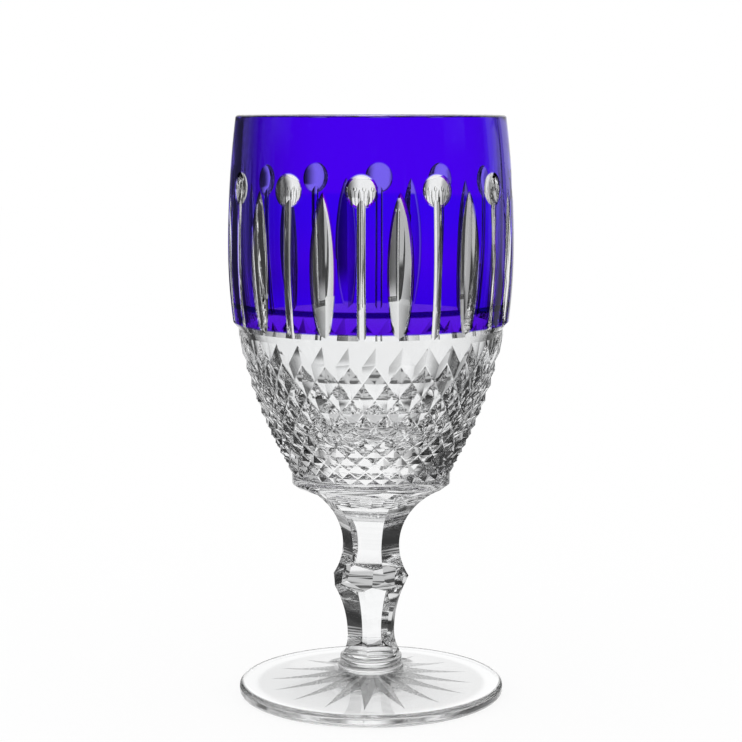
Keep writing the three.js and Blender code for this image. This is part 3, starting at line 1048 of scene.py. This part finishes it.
class GOBLET_OT_foot(bpy.types.Operator):
    """Foot with its star of mitre cuts, and the collar on it"""

    bl_idname = "goblet.foot"
    bl_label = "Star Foot and Collar"

    def execute(self, context):
        foot = context.scene.goblet_foot
        glass = crystal_material("clear_crystal_foot")
        self.make_foot(foot, glass)
        self.make_collar(foot, seat_radius(context.scene.goblet_stem), glass)
        return {"FINISHED"}

    def make_foot(self, foot, glass):
        """Disc with a round edge, a hub under the collar, and the star cut into the dish below."""
        low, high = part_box("foot")
        rim = high.x - foot.edge_round
        seat = foot.collar_lower - foot.collar_round
        run = spaced(0.0, 1.0, ROW_STEPS)
        dish = [(foot.dish_radius * t, low.z + foot.dish_depth * (1 - t * t)) for t in run]
        top = []
        for t in run:
            sag = foot.top_sag * 4 * t * (1 - t)
            level = foot.edge_thickness + (high.z - foot.edge_thickness) * t
            top.append((rim + (foot.hub_radius - rim) * t, low.z + level - sag))
        outline = dish + arc(rim, low.z + foot.edge_round, foot.edge_round, -90, 0)
        outline += arc(rim, low.z + foot.edge_thickness - foot.edge_round, foot.edge_round, 0, 90)[1:]
        outline += top[1:] + [(seat, high.z), (0.0, high.z)]
        bm = turned(outline)
        mark_fused(bm, lambda at: at.z > high.z - WELD and at.xy.length < seat)
        # The ground dish and the satin star carry painted shade in their colour
        ground = crystal_material("ground_crystal_foot_painted_shade")
        body = to_object(bm, "foot_clear_crystal", [glass, fused_material("fused_joint"), ground])
        carve(body, self.star_tool(foot, crystal_material("satin_crystal_star_painted_shade")))
        for face in body.data.polygons:
            under = face.center.z < low.z + foot.dish_depth + WELD and face.normal.z < DISH_NORMAL
            if under and face.center.xy.length < foot.dish_radius:
                face.material_index = UNDERSIDE
        smooth_faces(body)
        settle(body, "foot")

    def star_tool(self, foot, glass):
        """Rays of the star: four-sided cones on their sides, deepest at the middle."""
        bm = bmesh.new()
        bmesh.ops.create_cone(
            bm, cap_ends=True, cap_tris=False, segments=4, radius1=1.0, radius2=0.0, depth=foot.star_radius
        )
        rotate(bm, bm.verts, math.pi / 2, "Y")
        bmesh.ops.translate(bm, verts=bm.verts, vec=(foot.star_radius / 2, 0.0, 0.0))
        bmesh.ops.scale(bm, verts=bm.verts, vec=(1.0, foot.star_half_width, foot.star_depth))
        repeat_round(bm, foot.star_rays)
        return to_object(bm, "star_wheel", [glass])

    def make_collar(self, foot, seat, glass):
        """Two round steps with a groove between them."""
        low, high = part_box("collar")
        curve = foot.collar_round
        lower = foot.collar_lower - curve
        upper = foot.collar_upper - curve
        step = low.z + foot.collar_lower_height
        groove = math.degrees(foot.groove_angle)
        outline = [(0.0, low.z)] + arc(lower, low.z + curve, curve, -90, 0)
        outline += arc(lower, step - curve, curve, 0, groove)[1:]
        outline += arc(upper, step + curve, curve, -groove, 0)
        outline += arc(upper, high.z - curve, curve, 0, 90)[1:]
        outline += [(seat, high.z), (0.0, high.z)]
        bm = turned(outline)
        mark_fused(bm, lambda at: at.z < low.z + WELD or (at.z > high.z - WELD and at.xy.length < seat))
        body = to_object(bm, "collar_clear_crystal", [glass, fused_material("fused_joint")])
        smooth_faces(body, COLLAR_EDGE)
        settle(body, "collar")


# Stage

# Floor: how far it lies under the foot, its own white for the camera, and its tone through the glass
FLOOR_DROP = 0.05 * MM
FLOOR_WHITE = 0.85
FLOOR_DIM = 0.05

# Paper sweep in metres from the goblet's axis, with the angle its bend starts at, and its darkest tone
SWEEP_DROP = 0.03 * MM
SWEEP_FRONT = -0.12
SWEEP_BEND = 0.25
BEND_START = 0.1
SWEEP_CURVE = 0.2
SWEEP_TOP = 0.7
SWEEP_SIDE = 1.2
SWEEP_DARK = 0.04

# Light on the sweep's wall, in degrees to the right of straight behind the goblet
LEFT_LIGHT = (-38.0, -15.0)
LEFT_LEAN = 12.0
RIGHT_DIM = (17.0, 26.0)
WEDGE_START = (24.0, 32.0)
WEDGE_STEP = (41.0, 44.0)
WEDGE_END = (50.0, 52.0)
RIGHT_DARK = (66.0, 74.0)

# Heights on the sweep's wall, in metres, and how much wider its zones are at the top
LEFT_RISE = (0.05, 0.08)
WEDGE_TOP = (0.065, 0.085)
WEDGE_LIFT = 0.2
WIDER_RISE = (0.2, 0.5)
WIDER = 1.5

# Steps on the sweep's floor, in metres out from the goblet's axis, or back or aside from it
HUB_SHADOW = (0.006, 0.009)
FOOT_EDGE = (0.034, 0.037)
FOOT_END = (0.044, 0.05)
WALL_START = (0.22, 0.3)
CORE_EDGE = (0.01, 0.014)
STRIP_START = (0.02, 0.026)
STRIP_END = (0.075, 0.09)
STRIP_FRONT = (0.075, 0.09)
SLIT_MIDDLE = 0.039
SLIT_EDGE = (0.004, 0.007)
RINGS_END = (0.055, 0.07)

# Rings of light on the sweep's floor: radians a metre, and the step on their sine
RING_PITCH = 230.0
RING_STEP = (-0.4, 0.9)

# Tones of the sweep's floor: a painted shadow, under the hub with what the dish and the ring add, then rings
# and strips
FOOT_SHADOW_TONES = (0.1, 0.75, 0.15)
RING_TONES = (0.04, 0.5)
STRIP_TONE = 0.6

# Soft boxes round the room and the light over it, as parts of a direction of length 1
BOX_COUNT = 7.0
BOX_EDGE = (0.1, 0.4)
BOX_FOOT = (0.1, 0.18)
BOX_TOP = (0.45, 0.55)
BOX_FRONT = (-0.6, -0.5)
CEILING = (0.72, 0.82)
ROOM_LIGHT = 0.03
BOX_LIGHT = 0.75
CEILING_LIGHT = 0.7


class GOBLET_OT_stage(bpy.types.Operator):
    """Pale floor, soft studio light and the camera"""

    bl_idname = "goblet.stage"
    bl_label = "Studio Stage"

    def execute(self, context):
        scene = context.scene
        stage = scene.goblet_stage
        self.make_floor(stage)
        self.make_world(scene)
        self.make_sweep(self.make_camera(scene, stage))
        scene.view_settings.view_transform = "Standard"
        scene.cycles.max_bounces = 32
        scene.cycles.transmission_bounces = 32
        scene.cycles.glossy_bounces = 16
        scene.cycles.transparent_max_bounces = 64
        return {"FINISHED"}

    def make_floor(self, stage):
        """Pale floor: white to the camera, with the goblet's shadow, and dim where the glass shows it."""
        bm = bmesh.new()
        bmesh.ops.create_grid(bm, x_segments=1, y_segments=1, size=stage.floor_size)
        bmesh.ops.translate(bm, verts=bm.verts, vec=(0.0, 0.0, CAD_BOX[0][2] - FLOOR_DROP))
        material, finish = new_finish("pale_floor")
        own = finish.path("Is Camera Ray") * FLOOR_WHITE
        matt = finish.node("ShaderNodeBsdfDiffuse", {"Color": WHITE})
        lit = finish.node("ShaderNodeMixShader", {0: own, 1: matt, 2: finish.glow(WHITE)})
        sockets = {0: self.seen_through(finish), 1: lit, 2: finish.glow(grey(FLOOR_DIM))}
        finish.surface(finish.node("ShaderNodeMixShader", sockets))
        to_object(bm, "floor", [material])

    def seen_through(self, finish):
        """1 for light that reaches the eye through or off the glass."""
        return finish.path("Is Transmission Ray").either(finish.path("Is Glossy Ray"))

    def make_sweep(self, camera):
        """White paper sweep behind the goblet, turned to the camera, that the glass alone sees."""
        level = CAD_BOX[0][2] - SWEEP_DROP
        run = [(SWEEP_FRONT, level), (SWEEP_BEND, level)]
        for turn in spaced(BEND_START, math.pi / 2, BEND_STEPS):
            back = SWEEP_BEND + SWEEP_CURVE * math.sin(turn)
            run.append((back, level + SWEEP_CURVE * (1 - math.cos(turn))))
        run.append((SWEEP_BEND + SWEEP_CURVE, SWEEP_TOP))
        bm = bmesh.new()
        verts = [bm.verts.new((-SWEEP_SIDE, y, z)) for y, z in run]
        edges = [bm.edges.new(pair) for pair in zip(verts, verts[1:])]
        made = bmesh.ops.extrude_edge_only(bm, edges=edges)
        moved = [item for item in made["geom"] if isinstance(item, bmesh.types.BMVert)]
        bmesh.ops.translate(bm, verts=moved, vec=(2 * SWEEP_SIDE, 0.0, 0.0))
        material, finish = new_finish("white_sweep")
        x, y, z, reach = finish.round_place()
        far = finish.smooth(y, *WALL_START)
        paper = far * self.wall_light(finish, x, y, z) + (1.0 - far) * self.floor_light(finish, x, y, reach)
        finish.surface(finish.glow(finish.blend(paper, grey(SWEEP_DARK), WHITE)))
        sweep = to_object(bm, "sweep", [material])
        sweep.visible_camera = False
        sweep.visible_diffuse = False
        sweep.visible_shadow = False
        follow = sweep.constraints.new("LOCKED_TRACK")
        follow.target = camera
        follow.track_axis = "TRACK_NEGATIVE_Y"
        follow.lock_axis = "LOCK_Z"

    def wall_light(self, finish, x, y, z):
        """Sweep's wall: light behind the goblet and dim to both sides, with a dark wedge on the right."""
        side = x.math("ARCTAN2", y.either(MM)) * (180.0 / math.pi)
        side = side / (1.0 + finish.smooth(z, *WIDER_RISE) * WIDER)
        low = z - WEDGE_LIFT * finish.smooth(side, *WEDGE_STEP)
        wedge = (0.5 - 0.5 * finish.smooth(low, *WEDGE_TOP)) * finish.between(side, WEDGE_START, WEDGE_END)
        fall = 0.5 * finish.smooth(side, *RIGHT_DIM) + wedge + 0.5 * finish.smooth(side, *RIGHT_DARK)
        return finish.smooth(side - LEFT_LEAN * finish.smooth(z, *LEFT_RISE), *LEFT_LIGHT) - fall

    def floor_light(self, finish, x, y, reach):
        """Sweep's floor: a painted shadow under the foot, darkest under the hub, and lanes and rings of
        light behind it.
        """
        aside = x.math("ABSOLUTE")
        # Painted shadow of the foot and collar, darkest under the hub
        hub, dish, ring = FOOT_SHADOW_TONES
        under = hub + dish * finish.smooth(reach, *HUB_SHADOW) + ring * finish.smooth(reach, *FOOT_EDGE)
        core = 1.0 - finish.smooth(aside, *CORE_EDGE)
        dark, light = RING_TONES
        rings = dark + light * finish.smooth((reach * RING_PITCH).math("SINE"), *RING_STEP)
        rings = rings * (1.0 - finish.smooth(aside, *RINGS_END))
        slit = finish.smooth((aside - SLIT_MIDDLE).math("ABSOLUTE"), *SLIT_EDGE)
        strip = finish.between(aside, STRIP_START, STRIP_END) * slit
        strip = STRIP_TONE * strip * finish.smooth(y, *STRIP_FRONT)
        lane = core.either(strip.either(rings))
        clear = finish.smooth(reach, *FOOT_END)
        return clear * lane + (1.0 - clear) * under

    def make_world(self, scene):
        """White room, which the glass sees dim, with soft boxes round it and a light over it."""
        world = bpy.data.worlds.new("studio")
        scene.world = world
        world.use_nodes = True
        finish = Finish(world.node_tree)
        x, y, z = finish.parts(finish.node("ShaderNodeTexCoord", output="Generated"))
        boxes = finish.smooth((x.math("ARCTAN2", y) * BOX_COUNT).math("COSINE"), *BOX_EDGE)
        boxes = boxes * finish.between(z, BOX_FOOT, BOX_TOP) * finish.smooth(y, *BOX_FRONT)
        room = ROOM_LIGHT + BOX_LIGHT * boxes + CEILING_LIGHT * finish.smooth(z, *CEILING)
        tone = finish.blend(self.seen_through(finish) * (1.0 - room), WHITE, BLACK)
        light = finish.node("ShaderNodeBackground", {"Color": tone, "Strength": 1.0})
        finish.node("ShaderNodeOutputWorld", {"Surface": light})

    def make_camera(self, scene, stage):
        """Camera at the photograph's viewing angle."""
        data = bpy.data.cameras.new("camera")
        data.lens = stage.lens
        data.sensor_width = 36.0
        data.clip_start = 0.01
        camera = bpy.data.objects.new("camera", data)
        scene.collection.objects.link(camera)
        camera.location = (
            stage.distance * math.sin(stage.turn), -stage.distance * math.cos(stage.turn), stage.height
        )
        camera.rotation_euler = (math.pi / 2 - stage.pitch, 0.0, stage.turn)
        scene.camera = camera
        return camera


# Panel and classes

class GOBLET_PT_panel(bpy.types.Panel):
    """Lists the goblet's pieces and sizes"""

    bl_idname = "GOBLET_PT_panel"
    bl_label = "Cut Crystal Goblet"
    bl_space_type = "VIEW_3D"
    bl_region_type = "UI"
    bl_category = "Goblet"

    def draw(self, context):
        for group in GROUPS:
            box = self.layout.box()
            box.label(text=group.__doc__)
            sizes = getattr(context.scene, GROUPS[group])
            for name in group.__annotations__:
                box.prop(sizes, name, text=name.replace("_", " ").capitalize())
        for piece in PIECES:
            self.layout.operator(piece.bl_idname)


GROUPS = {
    BowlSizes: "goblet_bowl",
    CutSizes: "goblet_cuts",
    StemSizes: "goblet_stem",
    FootSizes: "goblet_foot",
    GlassColours: "goblet_glass",
    StageSizes: "goblet_stage",
}
PIECES = (GOBLET_OT_foot, GOBLET_OT_stem, GOBLET_OT_bowl, GOBLET_OT_casing, GOBLET_OT_stage)


def register():
    for group, name in GROUPS.items():
        bpy.utils.register_class(group)
        setattr(bpy.types.Scene, name, PointerProperty(type=group))
    for piece in (*PIECES, GOBLET_PT_panel):
        bpy.utils.register_class(piece)


def unregister():
    for piece in (GOBLET_PT_panel, *reversed(PIECES)):
        bpy.utils.unregister_class(piece)
    for group, name in reversed(GROUPS.items()):
        delattr(bpy.types.Scene, name)
        bpy.utils.unregister_class(group)


def main():
    register()
    bpy.ops.goblet.foot()
    bpy.ops.goblet.stem()
    bpy.ops.goblet.bowl()
    bpy.ops.goblet.casing()
    bpy.ops.goblet.stage()


if __name__ == "__main__":
    main()
